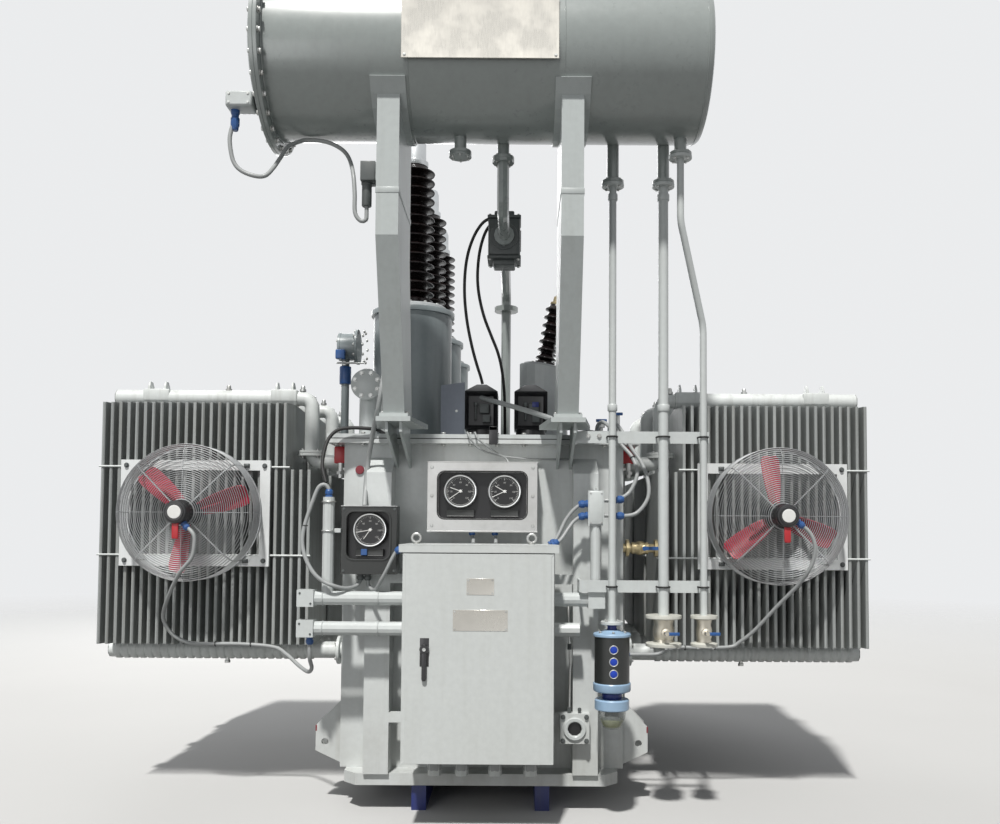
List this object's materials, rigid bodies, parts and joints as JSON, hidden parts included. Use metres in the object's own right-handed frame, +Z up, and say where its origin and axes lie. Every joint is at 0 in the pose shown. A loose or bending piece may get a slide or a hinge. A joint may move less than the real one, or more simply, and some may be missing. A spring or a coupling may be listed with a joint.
{
  "type": "power transformer",
  "caption": "Oil-filled power transformer with finned radiators, fans, bushings, an overhead conservator on legs and a front control cabinet with a hinged door.",
  "frame": {"origin": "middle of the object's box at floor level, under the skids", "axes": "+Z up, -Y the front with the control cabinet, +X to the right seen from the front"},
  "size_m": [4.22, 4.517, 4.192],
  "materials": {
    "skid_blue": "dusty satin",
    "tank_paint": "weathered semi-gloss",
    "cover_paint": "weathered semi-gloss",
    "glaze": "glossy dark glaze",
    "conservator_paint": "semi-gloss",
    "blank_plate": "matte",
    "dark_cast": "matte",
    "white_paint": "semi-gloss",
    "breather_blue": "satin",
    "fin_paint": "weathered matte",
    "frame_paint": "satin",
    "guard_wire": "plated wire",
    "blade_red": "satin",
    "cabinet_paint": "semi-gloss",
    "black_paint": "satin",
    "stainless": "brushed",
    "turret_grey": "satin",
    "brass": "dull",
    "lever_blue": "satin",
    "conduit_grey": "matte"
  },
  "bodies": {
    "transformer": {"skid_left": "skid_blue", "skid_right": "skid_blue", "base_plate": "tank_paint", "tank": "tank_paint", "tank_cover": "cover_paint", "hv_bushing_front": "glaze", "hv_bushing_middle": "glaze", "hv_bushing_rear": "glaze", "lv_bushing_front": "glaze", "lv_bushing_middle": "glaze", "lv_bushing_rear": "glaze", "conservator_shell": "conservator_paint", "conservator_end_cover": "conservator_paint", "relay_pipe": "conservator_paint", "relay_riser": "conservator_paint", "conservator_plate": "blank_plate", "level_gauge": "dark_cast", "gas_relay": "dark_cast", "single_gauge_box": "dark_cast", "conservator_leg_left": "white_paint", "conservator_leg_right": "white_paint", "leg_bracket_left": "white_paint", "leg_bracket_right": "white_paint", "breather_pipe": "white_paint", "drain_pipe": "white_paint", "fill_pipe": "white_paint", "pipe_bar_upper": "white_paint", "pipe_bar_lower": "white_paint", "cable_tube_left_upper": "white_paint", "cable_tube_left_lower": "white_paint", "cable_tube_right_upper": "white_paint", "inspection_flange": "white_paint", "breather": "breather_blue", "radiator_left_front": "fin_paint", "radiator_left_middle": "fin_paint", "radiator_left_rear": "fin_paint", "radiator_right_front": "fin_paint", "radiator_right_middle": "fin_paint", "radiator_right_rear": "fin_paint", "fan_frame_left": "frame_paint", "fan_frame_right": "frame_paint", "fan_cage_left": "guard_wire", "fan_cage_right": "guard_wire", "control_cabinet": "cabinet_paint", "relief_device_left": "black_paint", "relief_device_right": "black_paint", "twin_gauge_box": "stainless", "turret_nozzle": "turret_grey", "side_valve": "brass", "motor_conduit_left": "conduit_grey", "motor_conduit_right": "conduit_grey", "gauge_conduit": "conduit_grey", "shell_conduit": "conduit_grey", "rim_conduit_upper": "conduit_grey", "rim_conduit_lower": "conduit_grey"},
    "door": {"cabinet_door": "cabinet_paint"},
    "handle": {"door_handle": "black_paint"},
    "rotor_left": {"fan_rotor_left": "blade_red"},
    "rotor_right": {"fan_rotor_right": "blade_red"},
    "lever": {"valve_lever": "lever_blue"}
  },
  "joints": [
    {"name": "cabinet_door_hinge", "type": "hinge", "parent": "transformer", "child": "door", "pos_m": [0.354, -1.8375, 0.339], "axis": [0, 0, 1], "range_deg": [0, 120]},
    {"name": "door_handle_turn", "type": "hinge", "parent": "door", "child": "handle", "pos_m": [-0.257, -1.8481, 0.882], "axis": [0, -1, 0], "range_deg": [0, 90]},
    {"name": "fan_spin_left", "type": "hinge", "parent": "transformer", "child": "rotor_left", "pos_m": [-1.565, -1.3955, 1.535], "axis": [0, 1, 0], "continuous": true},
    {"name": "fan_spin_right", "type": "hinge", "parent": "transformer", "child": "rotor_right", "pos_m": [1.565, -1.3955, 1.535], "axis": [0, 1, 0], "continuous": true},
    {"name": "valve_lever_turn", "type": "hinge", "parent": "transformer", "child": "lever", "pos_m": [0.86, -1.3601, 1.361], "axis": [0, 1, 0], "range_deg": [0, 90]}
  ]
}
